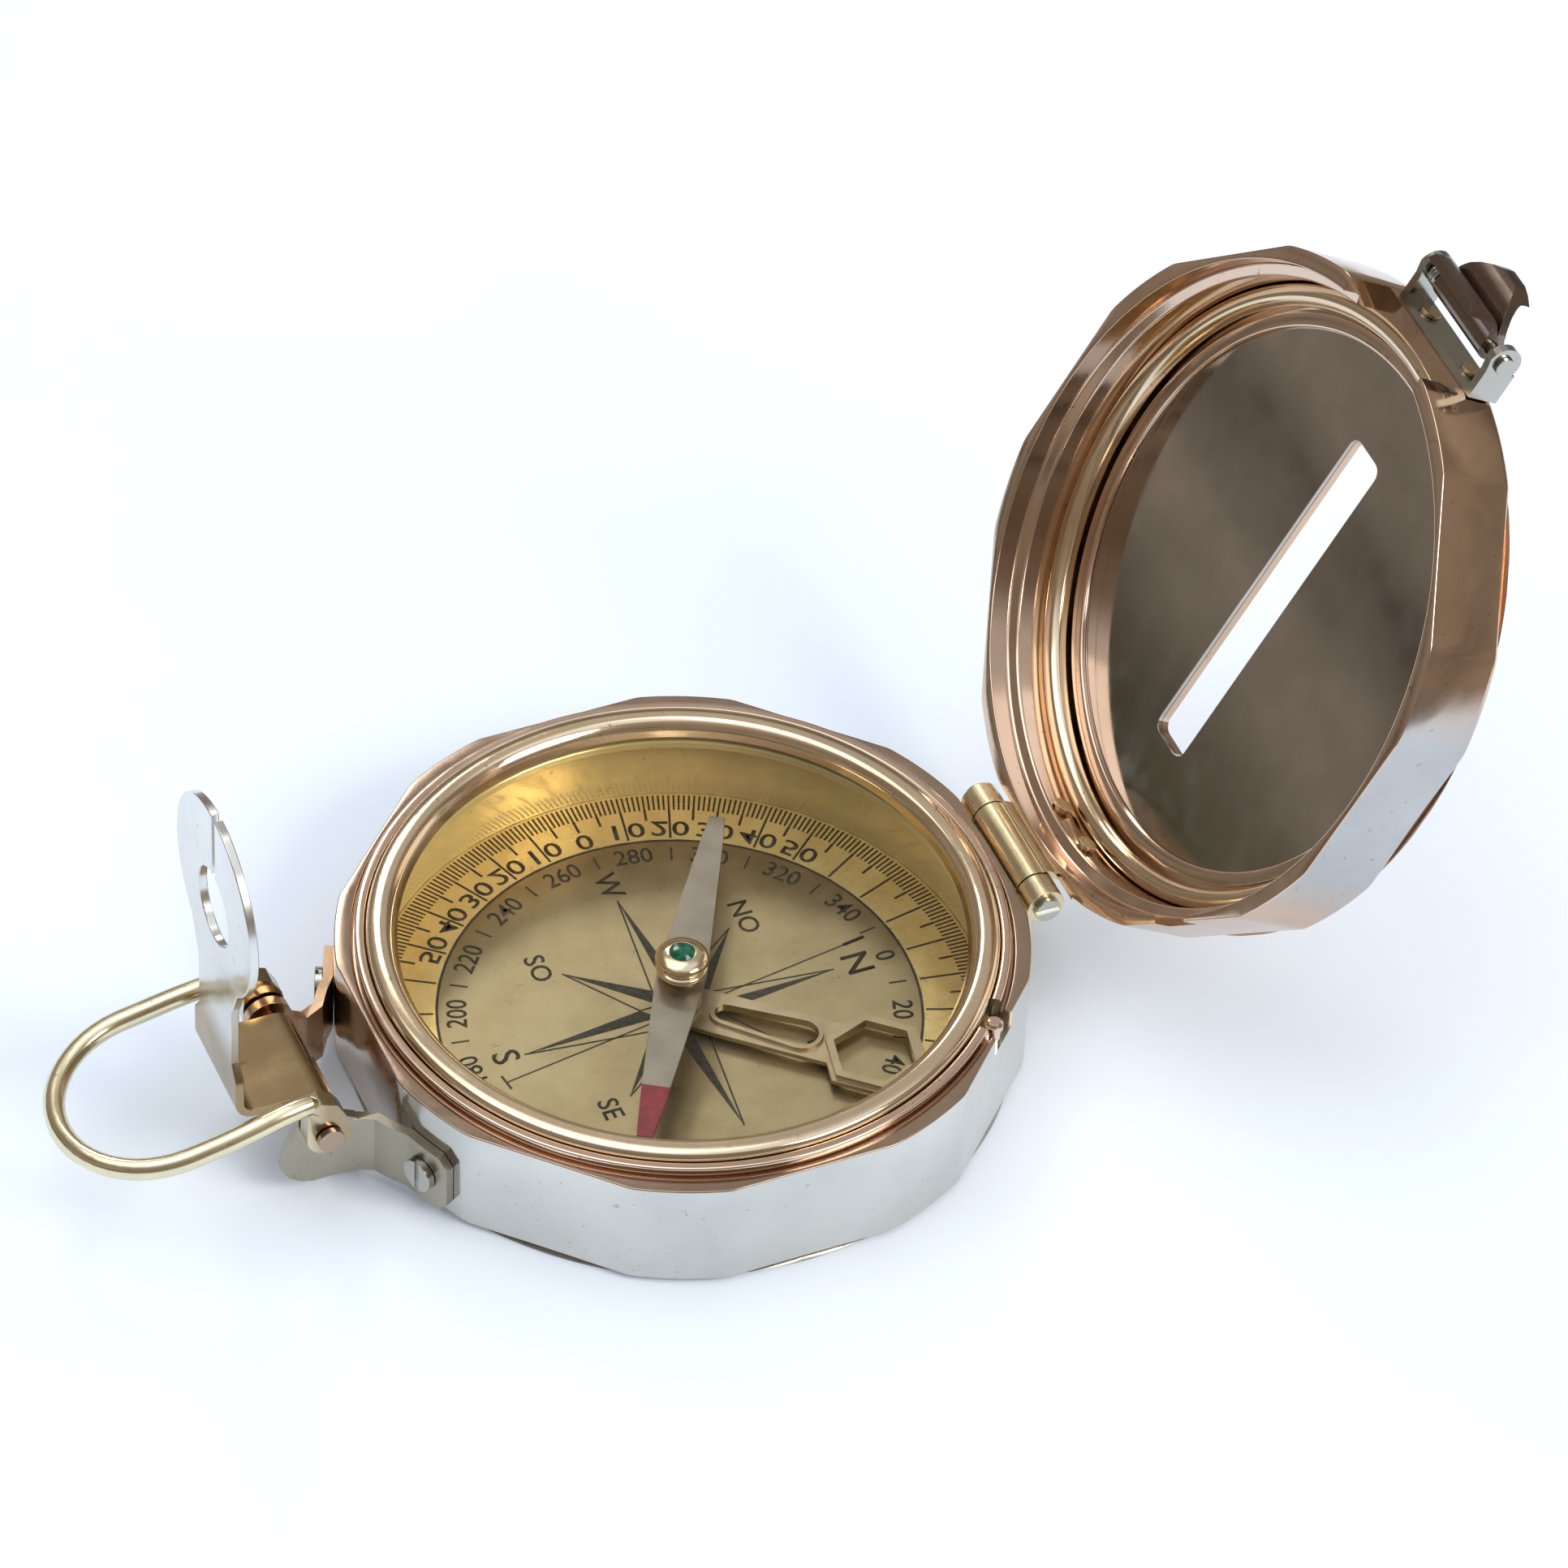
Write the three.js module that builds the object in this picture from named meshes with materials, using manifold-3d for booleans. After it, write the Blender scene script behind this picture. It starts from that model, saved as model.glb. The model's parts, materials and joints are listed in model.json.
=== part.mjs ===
// Pocket sighting compass with a mirrored lid, a folding sight and a finger loop.
// Millimetres. Origin: centre of the case's underside. +X: from the sight to the lid hinge.
// +Z: up. The lid is built shut and then swung open to its rest angle.
import * as THREE from 'three';
import Module from 'manifold-3d';
import { mergeVertices } from 'three/addons/utils/BufferGeometryUtils.js';

const wasm = await Module();
wasm.setup();

const RAD = Math.PI / 180;
const TURN_STEPS = 64; // facets round the case and lid
const PLATE_STEPS = 48; // facets round the dial's plates
const FINE_STEPS = 20; // facets round pins and knuckles
const SCREW_STEPS = 16; // facets round screws and rivets

// ---- driving dimensions -------------------------------------------------------------------
const CASE_R = 38; // round part of the case and lid
const FLAT_A = 36.8; // centre to each of the eight milled flats
const CASE_H = 14.4; // flat band on top of the case wall
const FLOOR_T = 1.5;
const BORE_R = 34.3; // inside of the case, below the glass
const STEP_Z = 12.15; // step in the bore that carries the glass seat
const GLASS_Z = 13.15; // top of the glass seat
const GLASS_T = 1.45;
const SEAT_R = 34.7; // recess for glass seat, glass and bezel
const SEAT_IN = 31.9; // opening of the glass seat
const COLLAR_OUT = 35.8; // raised collar the lid drops over
const COLLAR_TOP = 15.6;
const DIAL_Z = 2.75; // top of the dial and of the scale ring
const DIAL_R = 26.9;
const LID_RIM = 14.9; // lid, shut: rim
const LID_TOP = 25.2; // lid, shut: outer face
const LID_FLOOR = 24.3; // lid, shut: face the mirror lies on
const LID_OPEN = 120.6; // rest angle of the lid, degrees
const HINGE = { x: 39.3, z: 13.7, r: 2.2, half: 9.2, gapHalf: 5.9 };
const PIN_R = 0.95;
const PIN_HOLE_R = 1.0;
const SLOT = { x: 21, y: 3.1, corner: 1.3 }; // sighting slot through mirror and lid: half sizes
const AXLE = { x: -45.3, z: 10.8, half: 11.9 }; // pin shared by the sight and the finger loop
const EAR = { in: 7.3, out: 8.5 }; // bracket ears, distance from the mid plane
const STRAP_Z = [1.7, 9.6];
const STRAP_END = 207.8; // heading of the strap's free end, from +X
const SIGHT = { footHalf: 6.45, legHalf: 5, sheet: 1, plateX: -54.2, headZ: 40.2, headR: 11.3 };
const LATCH = { y: -1.6, x: -41.6, z: 22.6, half: 8.6 };
const LEVER = { half: 5.6, sheet: 1.1 };
const NEEDLE_TURN = 58.5; // rest heading of the needle, degrees from +X
const ARM_TURN = 319; // rest heading of the clinometer arm
const LIFTER = { turn: -42, r: 35.75 }; // needle lifter's push pin
const SCREW = { r: 1, hole: 1.05, tip: 35.4, cap: 0.9 }; // tip: how deep it reaches, from the axis
const RIVET = { r: 0.72, hole: 0.75 };
const HINGE_SCREW = { y: 5.2, z: 6.2, head: 1.7 };
const STRAP_SCREW = { heading: 202.6, z: 5.8, head: 2 };
const LID_RIVET = { y: 3.2, z: 19.4 };
const LATCH_RIVET = { y: 5, z: 22.7 };
const SIDES = [-1, 1];

// ---- helpers ------------------------------------------------------------------------------
// A closed three.js geometry as a solid, turned right side out if it is inside out.
function solid(geometry) {
  const bare = geometry.clone();
  for (const name of ['normal', 'uv']) bare.deleteAttribute(name);
  const g = mergeVertices(bare, 1e-4);
  const p = g.attributes.position.array;
  const index = g.index.array;
  const tris = [];
  let volume = 0;
  for (let i = 0; i < index.length; i += 3) {
    const [a, b, c] = [index[i], index[i + 1], index[i + 2]];
    if (a === b || b === c || c === a) continue;
    tris.push(a, b, c);
    const [ax, ay, az, bx, by, bz, cx, cy, cz] = [a, b, c].flatMap((v) => [
      p[3 * v], p[3 * v + 1], p[3 * v + 2]]);
    volume += ax * (by * cz - bz * cy) + ay * (bz * cx - bx * cz) + az * (bx * cy - by * cx);
  }
  if (volume < 0) {
    for (let i = 0; i < tris.length; i += 3) [tris[i], tris[i + 1]] = [tris[i + 1], tris[i]];
  }
  return new wasm.Manifold(new wasm.Mesh({
    numProp: 3, vertProperties: new Float32Array(p), triVerts: new Uint32Array(tris) }));
}

// Closed (radius, height) profile turned about +Z.
function turned(profile, steps = TURN_STEPS) {
  const points = profile.map(([r, z]) => new THREE.Vector2(r, z));
  const [first, last] = [profile[0], profile[profile.length - 1]];
  if (first[0] > 0 || last[0] > 0) points.push(points[0].clone());
  return solid(new THREE.LatheGeometry(points, steps).rotateX(Math.PI / 2));
}

const ring = (rIn, rOut, z0, z1, steps = TURN_STEPS) =>
  turned([[rIn, z0], [rOut, z0], [rOut, z1], [rIn, z1]], steps);
const disc = (r, z0, z1, steps = FINE_STEPS) => turned([[0, z0], [r, z0], [r, z1], [0, z1]], steps);

// Outline in the XY plane, raised from z0 to z1.
function prism(points, z0, z1) {
  const shape = new THREE.Shape(points.map(([x, y]) => new THREE.Vector2(x, y)));
  const g = new THREE.ExtrudeGeometry(shape, { depth: z1 - z0, bevelEnabled: false });
  return solid(g).translate([0, 0, z0]);
}

// Outline in the XZ plane, thickened along Y from y0 to y1.
const sidePlate = (points, y0, y1) => prism(points, -y1, -y0).rotate([90, 0, 0]);
const box = (x0, x1, y0, y1, z0, z1) => prism([[x0, y0], [x1, y0], [x1, y1], [x0, y1]], z0, z1);
// Cylinder along Y, and along the outward radial direction at a heading.
const rodY = (r, x, z, y0, y1, steps = FINE_STEPS) =>
  disc(r, -y1, -y0, steps).rotate([90, 0, 0]).translate([x, 0, z]);
const rodOut = (r, heading, z, r0, r1, steps = SCREW_STEPS) =>
  disc(r, r0, r1, steps).rotate([0, 90, 0]).translate([0, 0, z]).rotate([0, 0, heading]);

const span = (a, b) => [Math.min(a, b), Math.max(a, b)];
const arcPoints = (cx, cy, r, from, to, steps) => Array.from({ length: steps + 1 }, (_, i) => {
  const t = (from + ((to - from) * i) / steps) * RAD;
  return [cx + r * Math.cos(t), cy + r * Math.sin(t)];
});
// Rectangle about the origin with rounded corners, from its half sizes.
const roundedBar = (x, y, r) => [[1, 1, 0], [-1, 1, 90], [-1, -1, 180], [1, -1, 270]].flatMap(
  ([sx, sy, from]) => arcPoints(sx * (x - r), sy * (y - r), r, from, from + 90, 5));
// Outline of bent sheet of one thickness that follows a smooth curve through the points.
function ribbon(points, thickness, steps) {
  const path = new THREE.SplineCurve(points.map(([x, y]) => new THREE.Vector2(x, y)));
  const [left, right] = SIDES.map((side) => path.getSpacedPoints(steps).map((p, i) => {
    const t = path.getTangentAt(i / steps);
    const off = (side * thickness) / 2;
    return [p.x - off * t.y, p.y + off * t.x];
  }));
  return [...left, ...right.reverse()];
}

// The eight flats, as the octagonal bar that everything round is trimmed to.
const flats = (z0, z1) => prism(
  arcPoints(0, 0, FLAT_A / Math.cos(22.5 * RAD), 22.5, 337.5, 7), z0, z1);

// Wire of radius r swept along a smooth curve.
function wire(points, r, steps, sides) {
  const path = new THREE.CatmullRomCurve3(points.map((p) => new THREE.Vector3(...p)));
  const round = new THREE.Shape(arcPoints(0, 0, r, 0, 360 - 360 / sides, sides - 1)
    .map(([x, y]) => new THREE.Vector2(x, y)));
  return solid(new THREE.ExtrudeGeometry(round, { steps, extrudePath: path, bevelEnabled: false }));
}

const METALS = {
  brass: [0xb8976a, 0.22, 1], rose: [0xb08868, 0.22, 1], dial: [0xb2a070, 0.5, 0.8],
  scale: [0xc8a25a, 0.4, 0.9], steel: [0x8c8784, 0.4, 0.9], mirror: [0x4c463c, 0.06, 1],
  glass: [0xdfe8e6, 0.05, 0], red: [0x8c1f2b, 0.5, 0.1], jewel: [0x1c6b4a, 0.15, 0.1] };
const group = new THREE.Group();
group.name = 'sighting_compass';

function add(name, shape, metal) {
  const mesh = shape.getMesh();
  const g = new THREE.BufferGeometry();
  g.setAttribute('position', new THREE.BufferAttribute(new Float32Array(mesh.vertProperties), 3));
  g.setIndex(new THREE.BufferAttribute(new Uint32Array(mesh.triVerts), 1));
  g.computeVertexNormals();
  const [color, roughness, metalness] = METALS[metal];
  const part = new THREE.Mesh(g, new THREE.MeshStandardMaterial({ color, roughness, metalness }));
  part.name = name;
  group.add(part);
}

// Slotted screw, head outwards along a radial heading.
function screw(heading, z, seatR, headR) {
  const head = rodOut(headR, heading, z, seatR, seatR + SCREW.cap, FINE_STEPS);
  const slot = box(seatR + SCREW.cap / 2, seatR + 2, -0.3, 0.3, z - headR - 1, z + headR + 1)
    .rotate([0, 0, heading]);
  return head.subtract(slot).add(rodOut(SCREW.r, heading, z, SCREW.tip, seatR + 0.1));
}

// Hole for a screw or rivet: along X on either side of the mid plane, or at a heading.
const screwHole = (heading, z, r = SCREW.hole) => rodOut(r, heading, z, 34, 42);
const atY = (shape, y) => shape.translate([0, y, 0]);

// ---- case ---------------------------------------------------------------------------------
const strapHeadings = [STRAP_SCREW.heading, 360 - STRAP_SCREW.heading];
const hingeScrewY = SIDES.map((side) => side * HINGE_SCREW.y);
const notchBox = (z0, z1) => box(34.65, 39, -2.3, 2.3, z0, z1).rotate([0, 0, LIFTER.turn]);

let caseShell = turned([
  [0, 0], [CASE_R - 0.8, 0], [CASE_R, 0.8], [CASE_R, CASE_H - 0.15], [CASE_R - 0.15, CASE_H],
  [36.25, CASE_H], [36.05, CASE_H - 0.5], [COLLAR_OUT, CASE_H - 0.5], [COLLAR_OUT, COLLAR_TOP - 0.25],
  [COLLAR_OUT - 0.25, COLLAR_TOP], [SEAT_R + 0.25, COLLAR_TOP], [SEAT_R, COLLAR_TOP - 0.25],
  [SEAT_R, STEP_Z], [BORE_R, STEP_Z], [BORE_R, FLOOR_T], [0, FLOOR_T],
]).intersect(flats(-1, 20))
  .subtract(notchBox(11.8, 20))
  .subtract(disc(0.85, 5, 13).translate([LIFTER.r, 0, 0]).rotate([0, 0, LIFTER.turn]));
const wallHole = (heading, z) => rodOut(SCREW.hole, heading, z, 35.2, 40);
for (const heading of strapHeadings) caseShell = caseShell.subtract(wallHole(heading, STRAP_SCREW.z));
for (const y of hingeScrewY) caseShell = caseShell.subtract(atY(wallHole(0, HINGE_SCREW.z), y));
add('case_shell', caseShell, 'rose');

add('dial_plate', ring(1.66, DIAL_R, FLOOR_T + 0.02, DIAL_Z, PLATE_STEPS), 'dial');
add('scale_ring', ring(DIAL_R + 0.02, BORE_R - 0.05, FLOOR_T + 0.02, DIAL_Z, PLATE_STEPS), 'scale');
add('pivot_post', turned([
  [0, FLOOR_T + 0.01], [1.64, FLOOR_T + 0.01], [1.64, DIAL_Z + 0.02], [2.6, DIAL_Z + 0.02],
  [2.6, 3.5], [1.25, 3.5], [1.25, 5], [0.55, 5.1], [0.45, 9.6], [0, 10.4],
], FINE_STEPS), 'brass');
add('arm_collar', ring(1.27, 2.3, 4.35, 4.95, FINE_STEPS), 'brass');
add('glass_seat', turned([
  [SEAT_IN, STEP_Z + 0.02], [SEAT_R - 0.06, STEP_Z + 0.02], [SEAT_R - 0.06, GLASS_Z - 0.01],
  [SEAT_IN + 0.2, GLASS_Z - 0.01], [SEAT_IN, GLASS_Z - 0.2],
]), 'brass');
add('glass', disc(SEAT_R - 0.1, GLASS_Z + 0.01, GLASS_Z + GLASS_T, TURN_STEPS), 'glass');
const bezelBase = GLASS_Z + GLASS_T + 0.02;
add('bezel_ring', turned([
  [31.1, bezelBase], [SEAT_R - 0.12, bezelBase], [SEAT_R - 0.12, 15.7], [SEAT_R - 0.4, 16.15],
  [33.7, 16.45], [32.8, 16.5], [32.1, 16.25], [31.5, 15.6],
]), 'brass');
add('lifter_pin', disc(0.8, 6.8, 14.3).add(disc(1.05, 13.7, 14.3)).add(
  turned([[0, 14.2], [1.05, 14.2], [0.7, 14.65], [0, 14.75]], FINE_STEPS))
  .translate([LIFTER.r, 0, 0]).rotate([0, 0, LIFTER.turn]), 'rose');

// ---- lid hinge ----------------------------------------------------------------------------
const leafX = [FLAT_A + 0.02, FLAT_A + 0.9];
const knuckle = (y0, y1) => rodY(HINGE.r, HINGE.x, HINGE.z, y0, y1);
const hingeBore = rodY(PIN_HOLE_R, HINGE.x, HINGE.z, -20, 20);
let baseLeaf = box(leafX[0], leafX[1], -HINGE.half, HINGE.half, 3.2, HINGE.z)
  .subtract(box(36, 40, -HINGE.gapHalf - 0.2, HINGE.gapHalf + 0.2, HINGE.z - HINGE.r - 0.35, 20));
for (const side of SIDES) {
  const ends = span(side * (HINGE.gapHalf + 0.2), side * HINGE.half);
  baseLeaf = baseLeaf.add(knuckle(...ends)).subtract(atY(screwHole(0, HINGE_SCREW.z), side * HINGE_SCREW.y));
}
add('base_hinge_leaf', baseLeaf.subtract(hingeBore), 'brass');
add('hinge_pin', rodY(PIN_R, HINGE.x, HINGE.z, -9.6, 9.6)
  .add(rodY(1.5, HINGE.x, HINGE.z, -9.9, -HINGE.half - 0.02))
  .add(rodY(1.5, HINGE.x, HINGE.z, HINGE.half + 0.02, 9.9))
  .subtract(box(HINGE.x - 3, HINGE.x + 3, -11, -9.6, HINGE.z - 0.25, HINGE.z + 0.25)), 'brass');
hingeScrewY.forEach((y, i) => {
  const seat = leafX[1] + 0.02;
  add(`hinge_screw_${i + 1}`, atY(screw(0, HINGE_SCREW.z, seat, HINGE_SCREW.head), y), 'brass');
});

// ---- bracket and its screws -----------------------------------------------------------------
// One strip: lies on the wall at each end, turns out and runs on as two parallel ears.
const stripIn = 38.06;
const strip = 1.14;
const halfStrap = (side) => {
  const onWall = (r) => arcPoints(0, 0, r, STRAP_END, 199, 6);
  const outer = [...onWall(stripIn + strip), [-38.3, -11.3], [-39.5, -9.4], [-41.2, -8.65],
    [-43.2, -EAR.out], [-46.5, -EAR.out]];
  const inner = [[-46.5, -EAR.in], [-43, -EAR.in], [-40.8, -7.5], [-38.7, -8.5], [-37.35, -10.7],
    ...onWall(stripIn).reverse()];
  return prism([...outer, ...inner].map(([x, y]) => [x, -side * y]), ...STRAP_Z);
};
const earSide = [[-41, STRAP_Z[0]], [-41, STRAP_Z[1]], [-42.3, 10.3],
  ...arcPoints(AXLE.x, AXLE.z, 2.7, 35, 190, 12), [-49.6, 6.2], [-49.8, 4.6], [-49, 3],
  [-47.4, 2], [-45.6, STRAP_Z[0]]];
let strap = box(-43.4, -40.2, -EAR.in - 0.1, EAR.in + 0.1, 2.2, 3.3);
for (const side of SIDES) {
  strap = strap.add(halfStrap(side)).add(sidePlate(earSide, ...span(side * EAR.in, side * EAR.out)));
}
for (const heading of strapHeadings) strap = strap.subtract(screwHole(heading, STRAP_SCREW.z, 1.08));
// The four corners at the strip's free ends are cut off.
for (const heading of [STRAP_END, 360 - STRAP_END]) {
  for (const z of STRAP_Z) {
    const corner = box(37, 40.5, -0.95, 0.95, -0.95, 0.95).rotate([45, 0, 0]);
    strap = strap.subtract(corner.translate([0, 0, z]).rotate([0, 0, heading]));
  }
}
add('bracket_strap', strap.subtract(rodY(PIN_HOLE_R, AXLE.x, AXLE.z, -15, 15)), 'brass');
strapHeadings.forEach((heading, i) => {
  const seat = stripIn + strip + 0.03;
  add(`strap_screw_${i + 1}`, screw(heading, STRAP_SCREW.z, seat, STRAP_SCREW.head), 'brass');
});
add('sight_axle', rodY(PIN_R, AXLE.x, AXLE.z, -AXLE.half, AXLE.half)
  .add(rodY(1.5, AXLE.x, AXLE.z, -AXLE.half, -11.15))
  .add(rodY(1.5, AXLE.x, AXLE.z, 11.15, AXLE.half)), 'brass');

// ---- folding sight --------------------------------------------------------------------------
const { sheet, plateX, footHalf, legHalf, headZ, headR } = SIGHT;
const footTop = AXLE.z + 2.15;
const footSide = [[AXLE.x, footTop - sheet], [plateX + 2.2, footTop - sheet],
  ...arcPoints(plateX + 2.2, footTop + 1.2, 2.2, 270, 180, 6), [plateX, 17.5],
  [plateX + sheet, 17.5], ...arcPoints(plateX + 2.2, footTop + 1.2, 1.2, 180, 270, 6),
  [AXLE.x, footTop]];
const upright = sidePlate([[plateX, 16], [plateX + sheet, 16], [plateX + sheet, 60], [plateX, 60]],
  -20, 20);
const face = (points) => prism(points, -60, -40).rotate([90, 0, 90]);
// Outline of the upright plate seen along X: a narrow leg below a round head.
const headOutline = [[-footHalf, 16], [footHalf, 16], [footHalf, 17.5], [legHalf, 19.5],
  [legHalf, 27], ...arcPoints(0, headZ, headR, -52, 232, 40), [-legHalf, 27], [-legHalf, 19.5],
  [-footHalf, 17.5]];
const sightPlate = upright.intersect(face(headOutline))
  .subtract(face(arcPoints(0, 38.4, 4.5, 0, 350, 35)))
  .subtract(face([[-0.5, 41], [0.5, 41], [0.5, 60], [-0.5, 60]]));
add('sight_vane', sidePlate(footSide, -footHalf, footHalf)
  .add(rodY(2.15, AXLE.x, AXLE.z, -footHalf, footHalf))
  .add(sightPlate)
  .subtract(rodY(PIN_HOLE_R, AXLE.x, AXLE.z, -10, 10)), 'brass');

// ---- finger loop ----------------------------------------------------------------------------
const LOOP = { half: 10.9, bendX: -61, r: 1.2 };
const arm = (side) => [[-45.9, side * 9.9, 13.1], [-47, side * 9.95, 15.2], [-49.6, side * 10.4, 15.5],
  [-54, side * 10.8, 14.7], [-58, side * LOOP.half, 13.8]];
const bend = arcPoints(LOOP.bendX, 0, LOOP.half, 100, 260, 8)
  .map(([x, y]) => [x, y, 13.2 + (x - LOOP.bendX) * 0.2]);
const lobe = (side) => sidePlate([...arcPoints(AXLE.x, AXLE.z, 2.5, 180, 360, 12),
  [AXLE.x + 2, 13.2], [AXLE.x + 0.9, 15.2], [AXLE.x - 0.8, 15.9], [AXLE.x - 2.3, 15.3]],
...span(side * 8.8, side * 11));
add('finger_loop', wire([...arm(1), ...bend, ...arm(-1).reverse()], LOOP.r, 48, 12)
  .add(lobe(1)).add(lobe(-1))
  .subtract(rodY(PIN_HOLE_R, AXLE.x, AXLE.z, -15, 15)), 'brass');

// ---- needle and clinometer arm --------------------------------------------------------------
const NEEDLE = { half: 24.9, z0: 8.2, z1: 8.7, tipStart: -17.2 };
const bladeEdge = (x) => 0.85 + 1.95 * Math.max(0, 1 - Math.abs(x) / NEEDLE.half) ** 0.85;
const bladePoints = (x0, x1) => {
  const xs = Array.from({ length: 15 }, (_, i) => x0 + ((x1 - x0) * i) / 14);
  return [...xs.map((x) => [x, -bladeEdge(x)]), ...xs.reverse().map((x) => [x, bladeEdge(x)])];
};
const headed = (shape, heading) => shape.rotate([0, 0, heading]);
add('needle_blade', headed(prism(bladePoints(NEEDLE.tipStart, NEEDLE.half), NEEDLE.z0, NEEDLE.z1)
  .subtract(disc(1.52, 7, 10)), NEEDLE_TURN), 'steel');
add('needle_tip', headed(prism(bladePoints(-NEEDLE.half, NEEDLE.tipStart - 0.01),
  NEEDLE.z0, NEEDLE.z1), NEEDLE_TURN), 'red');
add('needle_cap', turned([
  [0, 10.55], [0.75, 9.6], [0.85, 7.8], [1.5, 7.8], [1.5, NEEDLE.z1 + 0.01], [2.3, NEEDLE.z1 + 0.01],
  [2.5, 9.3], [2.9, 9.6], [2.9, 10.1], [2.4, 10.4], [2.6, 10.7], [3, 10.95], [3, 11.4], [2.4, 11.9],
  [1.45, 12.2], [1.4, 11.6], [0, 11.6],
], FINE_STEPS), 'brass');
add('needle_jewel', turned([[0, 11.62], [1.36, 11.62], [1.38, 12.15], [1, 12.5], [0, 12.68]],
  FINE_STEPS), 'jewel');

// Stamped arm: slotted shank with raised edges, then a six-sided window.
const ARM = { z0: 3.55, z1: 4.15, half: 3.1, head: 22.4, window: 4.7, rim: 1.6 };
const hexagon = (r) => arcPoints(ARM.head, 0, r, 0, 300, 5);
const shank = [[0, -2.9], [5, -ARM.half], [19, -ARM.half], [19, ARM.half], [5, ARM.half], [0, 2.9]];
const slotShape = [...arcPoints(5.2, 0, 1.2, 90, 270, 8), ...arcPoints(14, 0, 1.9, -90, 90, 10)];
const slotRim = [...arcPoints(5.2, 0, 1.75, 90, 270, 8), ...arcPoints(14, 0, 2.45, -90, 90, 10)];
add('clinometer_arm', headed(prism(shank, ARM.z0, ARM.z1)
  .add(disc(2.9, ARM.z0, ARM.z1))
  .add(prism(hexagon(ARM.window + ARM.rim), ARM.z0, ARM.z1))
  .add(prism(hexagon(ARM.window + 1), ARM.z0, ARM.z1 + 0.5))
  .add(prism(slotRim, ARM.z0, ARM.z1 + 0.35).subtract(disc(2.9, ARM.z1 + 0.01, 6)))
  .subtract(prism(slotShape, 0, 8)).subtract(prism(hexagon(ARM.window), 0, 8))
  .subtract(disc(1.31, 0, 8)), ARM_TURN), 'dial');

// ---- lid, built shut --------------------------------------------------------------------------
const openLid = (shape) => shape.translate([-HINGE.x, 0, -HINGE.z]).rotate([0, LID_OPEN, 0])
  .translate([HINGE.x, 0, HINGE.z]);
const sightSlot = prism(roundedBar(SLOT.x, SLOT.y, SLOT.corner), LID_RIM, LID_TOP + 2);
const lidRivetY = SIDES.map((side) => side * LID_RIVET.y);
const latchRivetY = SIDES.map((side) => LATCH.y + side * LATCH_RIVET.y);
const lidRivetHole = (y) => atY(screwHole(0, LID_RIVET.z, RIVET.hole), y);
const latchRivetHole = (y) => atY(screwHole(180, LATCH_RIVET.z, RIVET.hole), y);
let lidShell = turned([
  [36.1, LID_RIM], [CASE_R - 0.15, LID_RIM], [CASE_R, LID_RIM + 0.15], [CASE_R, LID_TOP - 1],
  [CASE_R - 0.3, LID_TOP - 0.3], [CASE_R - 1, LID_TOP], [0, LID_TOP], [0, LID_FLOOR],
  [34.8, LID_FLOOR], [34.8, 17.9], [35.9, 17.5], [36.1, 17.3],
]).intersect(flats(0, 40));
lidShell = lidShell.subtract(sightSlot)
  .subtract(box(-40, -33, -8.6, 8.6, 10, 20.6))
  .subtract(notchBox(10, 17));
for (const y of lidRivetY) lidShell = lidShell.subtract(lidRivetHole(y));
for (const y of latchRivetY) lidShell = lidShell.subtract(latchRivetHole(y));
add('lid_shell', openLid(lidShell), 'rose');
add('lid_ring', openLid(turned([
  [32.2, LID_FLOOR - 0.02], [34.76, LID_FLOOR - 0.02], [34.76, 21.6], [34.3, 21.15], [33.7, 20.95],
  [33, 21.05], [32.5, 21.4], [32.2, 22],
])), 'brass');
add('mirror_frame', openLid(turned([
  [31.7, LID_FLOOR - 0.02], [30.82, LID_FLOOR - 0.02], [30.82, 23.65], [30, 23.65],
  [30.15, 23.2], [31.7, 23.05],
])), 'rose');
add('mirror', openLid(disc(30.8, 23.7, LID_FLOOR - 0.02, TURN_STEPS).subtract(sightSlot)), 'mirror');

let lidLeaf = box(leafX[0], leafX[1], -HINGE.half, HINGE.half, HINGE.z + HINGE.r + 0.35, 22.6)
  .add(box(leafX[0], leafX[1], -HINGE.gapHalf, HINGE.gapHalf, HINGE.z, 17))
  .add(knuckle(-HINGE.gapHalf, HINGE.gapHalf));
for (const y of lidRivetY) lidLeaf = lidLeaf.subtract(lidRivetHole(y));
add('lid_hinge_leaf', openLid(lidLeaf.subtract(hingeBore)
  .subtract(box(30, FLAT_A + 0.01, -12, 12, 0, 30))), 'brass');
lidRivetY.forEach((y, i) => {
  const rod = (r, from, to) => rodOut(r, 0, LID_RIVET.z, from, to);
  const rivet = rod(RIVET.r, 34.2, 38).add(rod(1.15, 33.95, 34.35)).add(rod(1.25, leafX[1] + 0.03, 38.1));
  add(`lid_rivet_${i + 1}`, openLid(atY(rivet, y)), 'brass');
});

// ---- lid latch ----------------------------------------------------------------------------------
const latchEarSide = [[-FLAT_A - 0.5, 20.9], [-FLAT_A - 0.5, 24.9], [-40.6, 24.9],
  ...arcPoints(LATCH.x, LATCH.z, 2.1, 60, 260, 12), [-40.4, 20.9]];
let latchBase = box(-FLAT_A - 0.95, -FLAT_A - 0.02, LATCH.y - LATCH.half, LATCH.y + LATCH.half,
  20.9, 24.9);
for (const side of SIDES) {
  const ends = span(LATCH.y + side * (LATCH.half - 1), LATCH.y + side * LATCH.half);
  latchBase = latchBase.add(sidePlate(latchEarSide, ...ends));
}
for (const y of latchRivetY) latchBase = latchBase.subtract(latchRivetHole(y));
const latchBore = rodY(0.8, LATCH.x, LATCH.z, -15, 15);
add('latch_bracket', openLid(latchBase.subtract(latchBore)), 'brass');
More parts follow.
